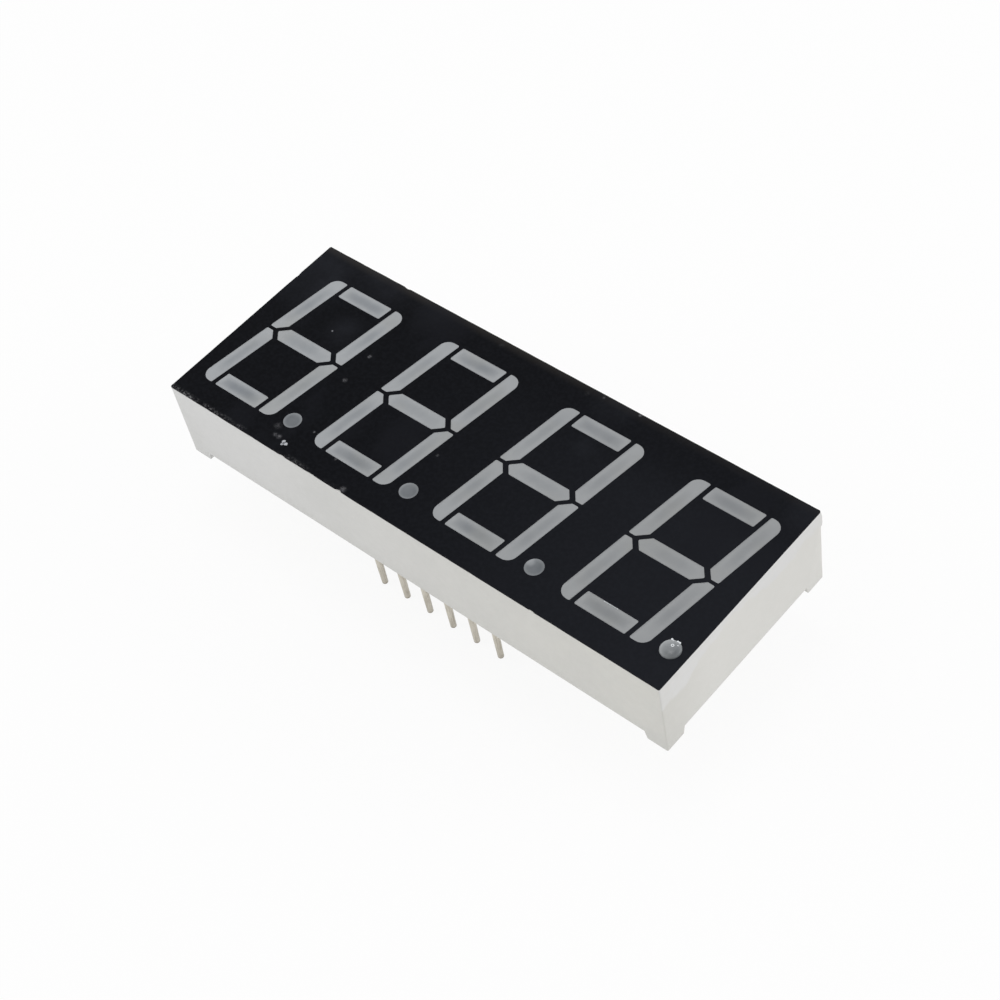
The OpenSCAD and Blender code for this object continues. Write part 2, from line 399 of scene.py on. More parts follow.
@dataclass(frozen=True)
class MouldedPlastic(Finish):
    """Matt light grey plastic, yellower towards one end, with a smear of resin along the top of that end,
    painted shade low on its walls and painted light on that end's face.

    The spans are pairs of places: what they name starts at the first and is full at the second.
    """

    aged: Colour = tone(214, 213, 207)
    # Painted light on the right end face: darker at its front corner, paler towards the back.
    end_front_shade: Colour = tone(208, 207, 202)
    end_lit_tone: Colour = tone(219, 218, 214)
    # Darker tone for the mottling and the grain, and for the painted shade at the foot of the walls.
    mottle_and_shade: Colour = tone(202, 202, 199)
    smear: Colour = tone(218, 218, 218)
    half_length: float = 25.15 * MM
    # Painted shade: heights over which the walls darken towards their foot, and how strong it gets.
    foot_shade_span: Pair = (2.6 * MM, 0.2 * MM)
    foot_shade_share: float = 0.3
    end_skin: Pair = (0.12 * MM, 0.01 * MM)
    # Painted light on the end face: where it goes from its front shade to full light, and how much of it
    # shows.
    end_light_span: Pair = (-9.4 * MM, -3.0 * MM)
    end_light_share: float = 0.85
    smear_low: float = 6.35 * MM
    smear_fade: float = 0.6 * MM
    smear_waver: float = 2.4 * MM
    smear_lobe: float = 0.8 * MM
    lobe_span: Pair = (-4.5 * MM, -8.5 * MM)
    smear_gloss: float = 0.12
    relief: float = 0.02 * MM

    def draw(self, sketch: NodeSketch) -> None:
        """Adds ageing, mottling, painted shade at the foot of the walls, painted light on the end face, the
        smear and the fine mould texture.

        Args:
            sketch: The material's nodes.
        """
        across = sketch.along(Axis.X)
        depth = sketch.along(Axis.Y)
        height = sketch.along(Axis.Z)
        aged = sketch.mix(sketch.remap(across, -self.half_length, self.half_length), self.base, self.aged)
        mottle = sketch.remap(sketch.cloud(160, 4), 0.4, 0.75, 0.0, 0.35)
        colour = sketch.mix(mottle, aged, self.mottle_and_shade)
        grain = sketch.cloud(3200, 4, 0.6)
        colour = sketch.mix(sketch.remap(grain, 0.35, 0.8, 0.0, 0.16), colour, self.mottle_and_shade)
        # Painted shade: the walls darken towards their foot, near the table.
        low = sketch.remap(height, *self.foot_shade_span, 0.0, self.foot_shade_share)
        colour = sketch.mix(low, colour, self.mottle_and_shade)
        waver = sketch.times(sketch.sum("SUBTRACT", sketch.cloud(260, 2), 0.5), self.smear_waver * 2)
        lobe = sketch.remap(depth, *self.lobe_span, 0.0, self.smear_lobe)
        edge = sketch.sum("ADD", sketch.sum("ADD", height, waver), lobe)
        band = sketch.remap(edge, self.smear_low, self.smear_low + self.smear_fade)
        end = sketch.remap(across, *(self.half_length - skin for skin in self.end_skin))
        # Painted light: the end face is repainted paler towards the back and darker at its front corner.
        painted_end_light = sketch.mix(sketch.remap(depth, *self.end_light_span), self.end_front_shade, self.end_lit_tone)
        colour = sketch.mix(sketch.times(end, self.end_light_share), colour, painted_end_light)
        smear = sketch.times(band, end)
        streak = sketch.remap(sketch.cloud(900, 4), 0.3, 0.7, 0.5, 0.8)
        colour = sketch.mix(sketch.times(smear, streak), colour, self.smear)
        texture = sketch.remap(sketch.cloud(1500, 3), 0.3, 0.7, self.roughness - 0.06, self.roughness + 0.08)
        gloss = sketch.times(smear, self.smear_gloss)
        sketch.set(Base_Color=colour, Roughness=sketch.sum("SUBTRACT", texture, gloss))
        sketch.bump(sketch.cloud(7000, 3, 0.6), 0.22, self.relief)


@dataclass(frozen=True)
class BlackFilm(Finish):
    """The black film of the face: dusty with a painted sheen towards one end, with a painted sheen along its
    back edge, smudged, and scuffed along its front edge.

    The spans are pairs of places: what they name starts at the first and is full at the second.
    """

    # A paler tone for dust, which also stands for a painted sheen of the studio's light.
    dust_and_sheen: Colour = tone(40, 42, 48)
    # Painted sheen along the back edge.
    rim: Colour = tone(60, 56, 52)
    smudge: Colour = tone(22, 23, 28)
    scuff: Colour = tone(150, 150, 152)
    speck: Colour = tone(138, 138, 142)
    top: float = 8.0 * MM
    # Dust and painted sheen: where they rise along the face, and how strong they get.
    dust_sheen_span: Pair = (-14.0 * MM, 26.0 * MM)
    dust_sheen_share: float = 0.36
    clear_span: Pair = (3.0 * MM, 8.0 * MM)
    clear_share: float = 0.35
    # Painted sheen along the back edge: where it starts and is full, how strong it is, and how it fades
    # along the face.
    rim_sheen_span: Pair = (8.6 * MM, 9.5 * MM)
    rim_sheen_share: float = 0.5
    rim_sheen_fade: Pair = (-20.0 * MM, 18.0 * MM)
    rim_sheen_rest: float = 0.3
    weave_share: float = 0.12
    smudge_share: float = 0.5
    scuff_span: Pair = (-5.0 * MM, -16.0 * MM)
    scuff_band: Pair = (-9.0 * MM, -9.32 * MM)
    scuff_share: float = 0.5
    scuff_rough: float = 0.35
    smudge_rough: float = 0.05
    relief: float = 0.02 * MM
    spots: tuple[Spot, ...] = (
        Spot(-18.12 * MM, 2.42 * MM, 0.14 * MM, 1.0),
        Spot(-13.52 * MM, 2.07 * MM, 0.26 * MM, 0.5),
        Spot(-13.45 * MM, -0.93 * MM, 0.3 * MM, 0.4),
        Spot(-14.15 * MM, -8.23 * MM, 0.3 * MM, 0.3),
        Spot(-14.60 * MM, -7.46 * MM, 0.5 * MM, 0.16),
        Spot(-13.72 * MM, -8.22 * MM, 0.32 * MM, 0.4),
        Spot(-11.69 * MM, -6.29 * MM, 0.16 * MM, 0.5),
        Spot(-8.32 * MM, -7.33 * MM, 0.18 * MM, 0.4),
        Spot(-1.92 * MM, -2.53 * MM, 0.2 * MM, 0.3),
        Spot(5.06 * MM, 9.21 * MM, 0.2 * MM, 0.25),
        Spot(8.53 * MM, 9.34 * MM, 0.2 * MM, 0.5),
        Spot(-5.28 * MM, 8.96 * MM, 0.34 * MM, 0.05),
        Spot(3.69 * MM, 8.79 * MM, 0.34 * MM, 0.05),
        Spot(-5.75 * MM, -9.2 * MM, 0.42 * MM, 0.4),
        Spot(16.68 * MM, 0.51 * MM, 0.14 * MM, 0.4),
    )
    # Patches of dust and painted sheen, where the face catches the studio's light.
    dust_sheen_patches: tuple[Spot, ...] = (
        Spot(-17.2 * MM, 3.0 * MM, 2.3 * MM, 0.5),
        Spot(-23.9 * MM, 6.6 * MM, 5.2 * MM, 0.75),
        Spot(-18.0 * MM, 9.4 * MM, 4.2 * MM, 0.6),
        Spot(-12.0 * MM, 9.4 * MM, 3.6 * MM, 0.4),
        Spot(24.4 * MM, -8.4 * MM, 5.0 * MM, 0.15),
        Spot(24.6 * MM, 8.6 * MM, 2.8 * MM, 0.35),
        Spot(6.4 * MM, 8.8 * MM, 2.8 * MM, 0.4),
        Spot(7.0 * MM, 4.5 * MM, 1.5 * MM, 0.3),
    )

    def draw(self, sketch: NodeSketch) -> None:
        """Adds dust with a painted sheen, a painted sheen along the back edge, smudges, the scuffed front
        edge, single specks and a faint grain.

        Args:
            sketch: The material's nodes.
        """
        across = sketch.along(Axis.X)
        depth = sketch.along(Axis.Y)
        # Dust and painted sheen: paler towards the right end and less towards the back.
        dust = sketch.remap(sketch.cloud(240, 4), 0.3, 0.7, 0.35, 1.0)
        rise = sketch.remap(across, *self.dust_sheen_span, 0.0, self.dust_sheen_share)
        clear = sketch.remap(depth, *self.clear_span, 1.0, self.clear_share)
        colour = sketch.mix(sketch.times(rise, clear), self.base, self.dust_and_sheen)
        # Painted sheen: the back edge is painted paler, most towards the left end.
        rim = sketch.remap(depth, *self.rim_sheen_span, 0.0, self.rim_sheen_share)
        fade = sketch.remap(across, *self.rim_sheen_fade, 1.0, self.rim_sheen_rest)
        colour = sketch.mix(sketch.times(rim, fade), colour, self.rim)
        # Patches of dust and painted sheen.
        for sheen_patch in self.dust_sheen_patches:
            dust_and_sheen = sketch.near((sheen_patch.x, sheen_patch.y, self.top), sheen_patch.radius)
            colour = sketch.mix(sketch.times(dust_and_sheen, dust, sheen_patch.strength), colour, self.dust_and_sheen)
        weave = sketch.remap(sketch.cloud(3400, 2, 0.6), 0.36, 0.68, 0.0, self.weave_share)
        colour = sketch.mix(weave, colour, self.dust_and_sheen)
        smear = sketch.cloud(170, 4, 0.5, sketch.stretched((1.0, 0.55, 1.0)))
        smudge = sketch.remap(smear, 0.5, 0.62)
        colour = sketch.mix(sketch.times(smudge, self.smudge_share), colour, self.smudge)
        band = sketch.times(sketch.remap(depth, *self.scuff_band), sketch.remap(across, *self.scuff_span))
        patches = sketch.remap(sketch.cloud(380, 2), 0.42, 0.56)
        crumbs = sketch.remap(sketch.cloud(5600, 4, 0.75), 0.46, 0.66)
        scuff = sketch.times(band, patches, crumbs)
        colour = sketch.mix(sketch.times(scuff, self.scuff_share), colour, self.scuff)
        ragged = sketch.remap(sketch.cloud(7400, 2, 0.6), 0.3, 0.62)
        for spot in self.spots:
            mark = sketch.near((spot.x, spot.y, self.top), spot.radius)
            colour = sketch.mix(sketch.times(mark, ragged, spot.strength), colour, self.speck)
        rubbed = sketch.times(scuff, self.scuff_rough)
        worn = sketch.sum("ADD", rubbed, sketch.times(smudge, self.smudge_rough))
        plain = sketch.remap(sketch.cloud(800, 3), 0.3, 0.7, self.roughness - 0.05, self.roughness + 0.05)
        sketch.set(Base_Color=colour, Roughness=sketch.sum("ADD", plain, worn))
        grain = sketch.sum("ADD", sketch.times(sketch.cloud(6000, 2), 0.4), sketch.times(scuff, 1.2))
        sketch.bump(grain, 0.18, self.relief)


@dataclass(frozen=True)
class MilkyResin(Finish):
    """Cast resin with a diffuser in it: pale at the rim of its well and darker over the die, with painted
    shade towards the right end.
    """

    deep: Colour = tone(112, 117, 123)
    warm: Colour = tone(148, 149, 146)
    # Painted shade: the windows darken towards the right end of the face.
    far: Colour = tone(122, 122, 121)
    right_shade_share: float = 0.4
    half_length: float = 25.15 * MM
    relief: float = 0.01 * MM

    def draw(self, sketch: NodeSketch) -> None:
        """Adds the darker middle, painted shade towards the right end, slow changes of hue and the slightly
        uneven surface.

        Args:
            sketch: The material's nodes.
        """
        # The hollow attribute also carries the points' painted light and shade.
        hollow = sketch.attribute(WindowFill.HOLLOW)
        wander = sketch.remap(sketch.cloud(420, 3), 0.3, 0.7, -0.12, 0.12)
        colour = sketch.mix(sketch.sum("ADD", hollow, wander), self.base, self.deep)
        colour = sketch.mix(sketch.remap(sketch.cloud(260, 2), 0.45, 0.7, 0.0, 0.35), colour, self.warm)
        # Painted shade: darker towards the right end.
        away = sketch.remap(sketch.along(Axis.X), -self.half_length, self.half_length, 0.0, self.right_shade_share)
        colour = sketch.mix(away, colour, self.far)
        plain = sketch.remap(sketch.cloud(1400, 3), 0.3, 0.7, self.roughness - 0.06, self.roughness + 0.06)
        sketch.set(Base_Color=colour, Roughness=plain)
        sketch.bump(sketch.cloud(2600, 3), 0.1, self.relief)


@dataclass(frozen=True)
class PottingResin(Finish):
    """The resin poured over the back of the board, with the lands under it just showing."""

    land: Colour = tone(150, 138, 112)
    cloudy: Colour = tone(206, 203, 188)
    pit: Colour = tone(168, 162, 142)
    land_share: float = 0.6
    pit_share: float = 0.5
    relief: float = 0.08 * MM

    def draw(self, sketch: NodeSketch) -> None:
        """Adds clouds, the ghosts of the lands, small bubbles and a slow ripple.

        Args:
            sketch: The material's nodes.
        """
        colour = sketch.mix(sketch.remap(sketch.cloud(180, 4), 0.35, 0.7), self.base, self.cloudy)
        ghost = sketch.attribute(BackPotting.GHOST)
        colour = sketch.mix(sketch.times(ghost, self.land_share), colour, self.land)
        bubble = sketch.times(
            sketch.remap(sketch.cells(1100), 0.16, 0.08),
            sketch.remap(sketch.cloud(300, 2), 0.55, 0.66),
        )
        colour = sketch.mix(sketch.times(bubble, self.pit_share), colour, self.pit)
        plain = sketch.remap(sketch.cloud(500, 3), 0.3, 0.7, self.roughness - 0.05, self.roughness + 0.1)
        sketch.set(Base_Color=colour, Roughness=plain)
        ripple = sketch.sum("SUBTRACT", sketch.cloud(350, 2), sketch.times(bubble, 0.5))
        sketch.bump(ripple, 0.3, self.relief)


@dataclass(frozen=True)
class TinnedWire(Finish):
    """Dull tin on a drawn pin, browner downwards and dark at the cut tip."""

    tip: Colour = tone(118, 106, 92)
    streak: Colour = tone(187, 181, 168)
    tip_level: float = -6.2 * MM
    tip_reach: float = 0.34 * MM
    brown_from: float = -2.6 * MM
    brown_share: float = 0.24
    tip_share: float = 0.8
    streaks: Triple = (9000, 9000, 500)
    relief: float = 0.01 * MM

    def draw(self, sketch: NodeSketch) -> None:
        """Adds drawing streaks, dull patches and the dark tip.

        Args:
            sketch: The material's nodes.
        """
        lines = sketch.cloud(1.0, 4, 0.6, sketch.stretched(self.streaks))
        colour = sketch.mix(sketch.remap(lines, 0.4, 0.7), self.base, self.streak)
        dull = sketch.cloud(1500, 4)
        colour = sketch.mix(sketch.remap(dull, 0.5, 0.75, 0.0, 0.5), colour, self.streak)
        height = sketch.along(Axis.Z)
        brown = sketch.remap(height, self.brown_from, self.tip_level, 0.0, self.brown_share)
        colour = sketch.mix(brown, colour, self.tip)
        end = sketch.remap(height, self.tip_level + self.tip_reach, self.tip_level)
        colour = sketch.mix(sketch.times(end, self.tip_share), colour, self.tip)
        plain = sketch.remap(dull, 0.3, 0.75, self.roughness - 0.08, self.roughness + 0.12)
        sketch.set(Base_Color=colour, Roughness=plain)
        sketch.bump(lines, 0.2, self.relief)


@dataclass(frozen=True)
class Mottled(Finish):
    """A plain finish of two close tones, for the pieces inside."""

    second: Colour = (0.5, 0.5, 0.5, 1.0)
    grain: Triple = (1500, 1500, 1500)
    relief: float = 0.01 * MM

    def draw(self, sketch: NodeSketch) -> None:
        """Adds mottling along the grain, in colour, gloss and relief.

        Args:
            sketch: The material's nodes.
        """
        patches = sketch.cloud(1.0, 4, 0.6, sketch.stretched(self.grain))
        share = sketch.remap(patches, 0.35, 0.7)
        gloss = sketch.remap(patches, 0.3, 0.7, self.roughness - 0.05, self.roughness + 0.08)
        sketch.set(Base_Color=sketch.mix(share, self.base, self.second), Roughness=gloss)
        sketch.bump(patches, 0.25, self.relief)


HOUSING_GREY = MouldedPlastic("housing_grey", tone(216, 216, 215), roughness=0.52, specular=0.35)
FACE_BLACK = BlackFilm("face_black", tone(7, 8, 12), roughness=0.42, specular=0.035)
WINDOW_MILK = MilkyResin("window_milk", tone(157, 160, 163), roughness=0.36, specular=0.3)
POINT_MILK = MilkyResin(
    "point_milk", tone(144, 147, 150), roughness=0.4, specular=0.25,
    deep=tone(78, 83, 88), warm=tone(102, 104, 103), right_shade_share=0.0,
)
# The drop's pale base and dark deep carry the painted light and shade across it.
POINT_WET = MilkyResin(
    "point_wet", tone(168, 171, 173), roughness=0.3, specular=0.3,
    deep=tone(86, 90, 94), warm=tone(122, 123, 121), right_shade_share=0.0,
)
POTTING_CREAM = PottingResin("potting_cream", tone(219, 217, 206), roughness=0.3, specular=0.45)
PIN_TIN = TinnedWire("pin_tin", tone(215, 210, 198), roughness=0.42, metallic=0.6)
# Near white skin for the bubbles and the glint's beads: the bubbles are real, but their white is partly a
# painted highlight.
BUBBLE_AND_GLINT_WHITE = Mottled(
    "bubble_and_glint_white", tone(232, 235, 238), roughness=0.08, specular=0.8,
    second=tone(214, 218, 222), grain=(9000, 9000, 9000),
)
CRUMB_WHITE = Mottled(
    "crumb_white", tone(184, 186, 191), roughness=0.5, specular=0.4,
    second=tone(110, 112, 118), grain=(5000, 5000, 5000),
)
BOARD_LAMINATE = Mottled(
    "board_laminate", tone(104, 142, 97), roughness=0.5, specular=0.4,
    second=tone(88, 124, 82), grain=(2600, 900, 1500),
)
COPPER_FLASH = Mottled(
    "copper_flash", tone(214, 160, 106), roughness=0.35, metallic=1.0, second=tone(186, 128, 84)
)
DIE_CRYSTAL = Mottled(
    "die_crystal", tone(124, 115, 112), roughness=0.3, metallic=0.2, second=tone(100, 94, 92)
)
WIRE_GOLD = Mottled(
    "wire_gold", tone(232, 190, 104), roughness=0.28, metallic=1.0, second=tone(208, 164, 82)
)
SOLDER_GREY = Mottled(
    "solder_grey", tone(184, 186, 190), roughness=0.34, metallic=1.0, second=tone(150, 152, 158)
)


def solid_copy(node: str) -> bmesh.types.BMesh:
    """Copies a solid's mesh, merges its loose triangles and joins those that lie flat together.

    Args:
        node: The solid's name.

    Returns:
        The copy.
    """
    bm = bmesh.new()
    bm.from_mesh(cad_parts[node].data)
    bmesh.ops.remove_doubles(bm, verts=bm.verts, dist=MERGE_DISTANCE)
    bmesh.ops.dissolve_limit(bm, angle_limit=FLAT_ANGLE, verts=bm.verts, edges=bm.edges)
    return bm


def faces_at(bm: bmesh.types.BMesh, level: float) -> list[bmesh.types.BMFace]:
    """Lists the faces whose corners all lie at one height, in metres."""
    return [f for f in bm.faces if all(abs(v.co.z - level) < LEVEL_TOLERANCE for v in f.verts)]


def outline_of(faces: Sequence[bmesh.types.BMFace]) -> list[tuple[Vector, Vector]]:
    """Lists the edges around a patch of faces, as pairs of points in plan.

    Args:
        faces: The patch.

    Returns:
        The two ends of each edge that belongs to one face of the patch only.
    """
    patch = set(faces)
    edges = {e for f in faces for e in f.edges if sum(1 for other in e.link_faces if other in patch) == 1}
    return [(e.verts[0].co.xy.copy(), e.verts[1].co.xy.copy()) for e in edges]


def distance_to(outline: Iterable[tuple[Vector, Vector]], point: Vector) -> float:
    """Measures how far a point in plan is from an outline.

    Args:
        outline: Pairs of points.
        point: The point.

    Returns:
        The distance to the nearest edge, in metres.
    """
    best = math.inf
    for start, end in outline:
        run = end - start
        share = (point - start).dot(run) / max(run.length_squared, 1e-18)
        best = min(best, (point - start - run * min(1.0, max(0.0, share))).length)
    return best


def slice_faces(
    bm: bmesh.types.BMesh, faces: Iterable[bmesh.types.BMFace], place: Vector, normal: Vector
) -> None:
    """Cuts faces in two by a plane.

    Args:
        bm: The mesh.
        faces: The faces that the plane may cut.
        place: A point on the plane.
        normal: The plane's normal.
    """
    geometry = set(faces)
    geometry |= {part for face in geometry for part in (*face.edges, *face.verts)}
    bmesh.ops.bisect_plane(bm, geom=list(geometry), dist=MERGE_DISTANCE, plane_co=place, plane_no=normal)


def cut_grid(bm: bmesh.types.BMesh, level: float, normal: Vector, spacing: float) -> None:
    """Cuts the faces at one height by evenly spaced upright planes.

    Args:
        bm: The mesh.
        level: The height of the faces.
        normal: The planes' normal.
        spacing: About how far apart the planes are.
    """
    reach = [normal.dot(v.co) for f in faces_at(bm, level) for v in f.verts]
    low, high = min(reach), max(reach)
    count = max(1, round((high - low) / spacing))
    for step in range(1, count):
        at = low + (high - low) * step / count
        slice_faces(bm, faces_at(bm, level), normal * at, normal)


def bevel(bm: bmesh.types.BMesh, edges: list[bmesh.types.BMEdge], width: float, segments: int) -> None:
    """Rounds edges over.

    Args:
        bm: The mesh.
        edges: The edges.
        width: How far the round reaches from an edge.
        segments: Faces across the round.
    """
    bmesh.ops.bevel(
        bm, geom=edges, offset=width, offset_type="OFFSET", segments=segments,
        profile=0.5, affect="EDGES", material=-1, clamp_overlap=True,
    )


def finish_piece(
    bm: bmesh.types.BMesh, name: str, finish: Finish, slot: Slot | None, stands_for: str | None
) -> bpy.types.Object:
    """Turns a mesh into a dressed piece that rides on the body.

    Args:
        bm: The mesh, which is freed.
        name: The piece's name.
        finish: Its finish.
        slot: The record's slot for it, if it has one; not used.
        stands_for: The solid that it replaces, if any.

    Returns:
        The piece.
    """
    mesh = bpy.data.meshes.new(name)
    bm.to_mesh(mesh)
    bm.free()
    mesh.polygons.foreach_set("use_smooth", [True] * len(mesh.polygons))
    mesh.set_sharp_from_angle(angle=SHARP_ANGLE)
    mesh.materials.append(finish.material())
    piece = bpy.data.objects.new(name, mesh)
    bpy.context.scene.collection.objects.link(piece)
    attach(piece, BODY)
    if stands_for is not None:
        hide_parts(stands_for)
    return piece


@dataclass
class Housing:
    """The moulded housing, with its lower edges rounded over and a burr at one corner."""

    node: str = "reflector_housing"
    round_below: float = 0.85 * MM
    edge_round: float = 0.07 * MM
    edge_segments: int = 2
    edge_angle: float = math.radians(40)
    burr: tuple[Pair, ...] = (
        (6.2 * MM, 0.0),
        (6.42 * MM, 0.1 * MM),
        (6.7 * MM, 0.05 * MM),
        (7.0 * MM, 0.02 * MM),
        (7.35 * MM, 0.05 * MM),
        (7.7 * MM, 0.02 * MM),
    )
    burr_way: Pair = (0.6, 0.8)
    burr_crest: float = 1.6
    corner_reach: float = 0.2 * MM

    def build(self) -> Iterator[bpy.types.Object]:
        """Makes the piece.

        Yields:
            The housing.
        """
        bm = solid_copy(self.node)
        self.round_lower_edges(bm)
        self.raise_burr(bm)
        yield finish_piece(bm, "housing_shell", HOUSING_GREY, Slot.HOUSING, self.node)

    def round_lower_edges(self, bm: bmesh.types.BMesh) -> None:
        """Rounds the edges of the rim and the feet.

        Args:
            bm: The housing's mesh.
        """
        edges = [
            e for e in bm.edges
            if max(v.co.z for v in e.verts) < self.round_below and e.calc_face_angle(0) > self.edge_angle
        ]
        bevel(bm, edges, self.edge_round, self.edge_segments)

    def raise_burr(self, bm: bmesh.types.BMesh) -> None:
        """Draws out a small burr of flash on the far right corner.

        Args:
            bm: The housing's mesh.
        """
        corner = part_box(self.node)[1].xy
        for level, out in self.burr:
            faces = [f for f in bm.faces if (f.calc_center_median().xy - corner).length < self.corner_reach]
            slice_faces(bm, faces, UP * level, UP)
            for vert in bm.verts:
                off = (vert.co.xy - corner).length
                if abs(vert.co.z - level) < LEVEL_TOLERANCE and off < self.corner_reach:
                    share = smooth_step(self.burr_crest * (1 - off / self.corner_reach))
                    vert.co.xy += Vector(self.burr_way) * out * share


@dataclass(frozen=True)
class WornEdge:
    """One side of the film: which way it faces, how ragged it is, and its nicks.

    A nick is a place along the side, half its length and its depth. Before worn_end the side frays deeper.
    """

    along: Axis
    outward: float
    fray: float
    worn_fray: float
    worn_end: float
    seed: float
    nicks: tuple[Triple, ...] = ()
    coarse: float = 1.6 * MM
    fine: float = 0.35 * MM
    fine_seed: float = 4.6
    fade: float = 4.0 * MM

    def depth_at(self, place: float) -> float:
        """Says how far the side is worn back at one place along it.

        Args:
            place: The place, in metres.

        Returns:
            The depth of the wear, in metres.
        """
        coarse = share_of_noise(place / self.coarse, self.seed)
        fine = share_of_noise(place / self.fine, self.seed + self.fine_seed)
        worn = smooth_step((self.worn_end - place) / self.fade)
        depth = (self.fray + (self.worn_fray - self.fray) * worn) * smooth_step(coarse * 1.3 - 0.3) * fine
        for middle, half, deep in self.nicks:
            depth = max(depth, deep * smooth_step(1 - abs(place - middle) / half))
        return depth


@dataclass
class BlackFace:
    """The black film, its edges worn ragged, most of all along the front."""

    node: str = "face_film"
    spacing: float = 0.22 * MM
    sides: tuple[WornEdge, ...] = (
        WornEdge(
            along=Axis.X, outward=-1.0, fray=0.05 * MM, worn_fray=0.13 * MM, worn_end=-4.0 * MM, seed=3.1,
            nicks=(
                (-5.97 * MM, 0.4 * MM, 0.16 * MM),
                (13.48 * MM, 0.3 * MM, 0.1 * MM),
                (-12.2 * MM, 0.5 * MM, 0.09 * MM),
            ),
        ),
        WornEdge(
            along=Axis.X, outward=1.0, fray=0.03 * MM, worn_fray=0.05 * MM, worn_end=-12.0 * MM, seed=21.7,
            nicks=((-16.1 * MM, 0.35 * MM, 0.09 * MM),),
        ),
        WornEdge(
            along=Axis.Y, outward=-1.0, fray=0.04 * MM, worn_fray=0.04 * MM, worn_end=-20.0 * MM, seed=43.3,
            nicks=((5.5 * MM, 0.3 * MM, 0.08 * MM),),
        ),
    )

    def build(self) -> Iterator[bpy.types.Object]:
        """Makes the piece.

        Yields:
            The film.
        """
        bm = solid_copy(self.node)
        for side in self.sides:
            self.wear(bm, side)
        yield finish_piece(bm, "black_face", FACE_BLACK, Slot.FACE_FILM, self.node)

    def wear(self, bm: bmesh.types.BMesh, side: WornEdge) -> None:
        """Cuts one side into short lengths and moves them inwards by its wear.

        Args:
            bm: The film's mesh.
            side: The side.
        """
        low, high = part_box(self.node)
        along = side.along.index
        across = 1 - along
        level = high[across] if side.outward > 0 else low[across]
        edges = [
            e for e in bm.edges
            if all(abs(v.co[across] - level) < LEVEL_TOLERANCE for v in e.verts) and e.calc_length() > high.y
        ]
        cuts = round(max(e.calc_length() for e in edges) / self.spacing)
        made = bmesh.ops.subdivide_edges(bm, edges=edges, cuts=cuts, use_grid_fill=True)
        for vert in (item for item in made["geom_inner"] if isinstance(item, bmesh.types.BMVert)):
            vert.co[across] -= side.outward * side.depth_at(vert.co[along])


@dataclass
class WindowFill:
    """The resin that fills one light well, with a surface that dips inside its rim, and painted light and
    shade that make one side paler than the other.
    """

    HOLLOW = "hollow"

    node: str
    name: str
    lean: float = math.radians(7.8)
    spacing: float = 0.16 * MM
    dip: float = 0.03 * MM
    climb: float = 0.3 * MM
    shade_reach: float = 0.62 * MM
    end_reach: float = 2.6 * MM
    end_crest: float = 1.25
    shade: float = 0.75
    ground: float = 0.0
    # Painted light and shade: how much paler one side is than the other, and towards which side.
    tilt: float = 0.0
    light_tilt_way: Pair = (-0.63, 0.77)
    gleam: Triple | None = None
    gleam_crest: float = 1.3
    bulge: float = 0.0
    overhang: float = 0.0
    rim_lift: float = 0.0
    shift: Pair = (0.0, 0.0)
    finish: Finish = WINDOW_MILK

    def build(self) -> bpy.types.Object:
        """Makes the piece.

        Returns:
            The filling.
        """
        bm = solid_copy(self.node)
        low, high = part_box(self.node)
        level = high.z
        outline = outline_of(faces_at(bm, level))
        cut_grid(bm, level, Vector((0, 1, 0)), self.spacing)
        cut_grid(bm, level, Vector((math.cos(self.lean), -math.sin(self.lean), 0)), self.spacing)
        centre = ((low + high) / 2).xy
        half = (high - low) / 2
        layer = bm.verts.layers.float.new(self.HOLLOW)
        for vert in {v for f in faces_at(bm, level) for v in f.verts}:
            inside = distance_to(outline, vert.co.xy)
            away = vert.co.xy - centre
            middle = smooth_step(inside / self.shade_reach)
            middle *= smooth_step(self.end_crest - away.length / self.end_reach)
            # Painted light and shade: paler towards one side, darker towards the other.
            painted_light_slope = self.tilt * away.dot(Vector(self.light_tilt_way)) / half.y
            vert[layer] = self.ground + self.shade * middle - painted_light_slope - self.gleam_at(vert.co.xy)
            vert.co.z += self.rise_at(inside, half.x)
            vert.co.xy += away * (self.overhang / half.x) + Vector(self.shift)
        return finish_piece(bm, self.name, self.finish, Slot.SEGMENT_RESIN, self.node)

    def gleam_at(self, point: Vector) -> float:
        """Says how much paler the resin is at a point, where it gleams beside its rim.

        Args:
            point: The point in plan.

        Returns:
            The share taken off the shade.
        """
        if self.gleam is None:
            return 0.0
        x, y, radius = self.gleam
        return self.ground * smooth_step(self.gleam_crest * (1 - (point - Vector((x, y))).length / radius))

    def rise_at(self, inside: float, half: float) -> float:
        """Says how far the surface stands above the face, below it where negative.

        Args:
            inside: A point's distance from the window's rim.
            half: Half the window's width.

        Returns:
            The height, in metres.
        """
        if self.bulge:
            return self.rim_lift + self.bulge * math.sqrt(1 - (1 - min(1.0, inside / half)) ** 2)
        share = 1 - min(1.0, inside / self.climb)
        return self.dip * (share * share - 1)


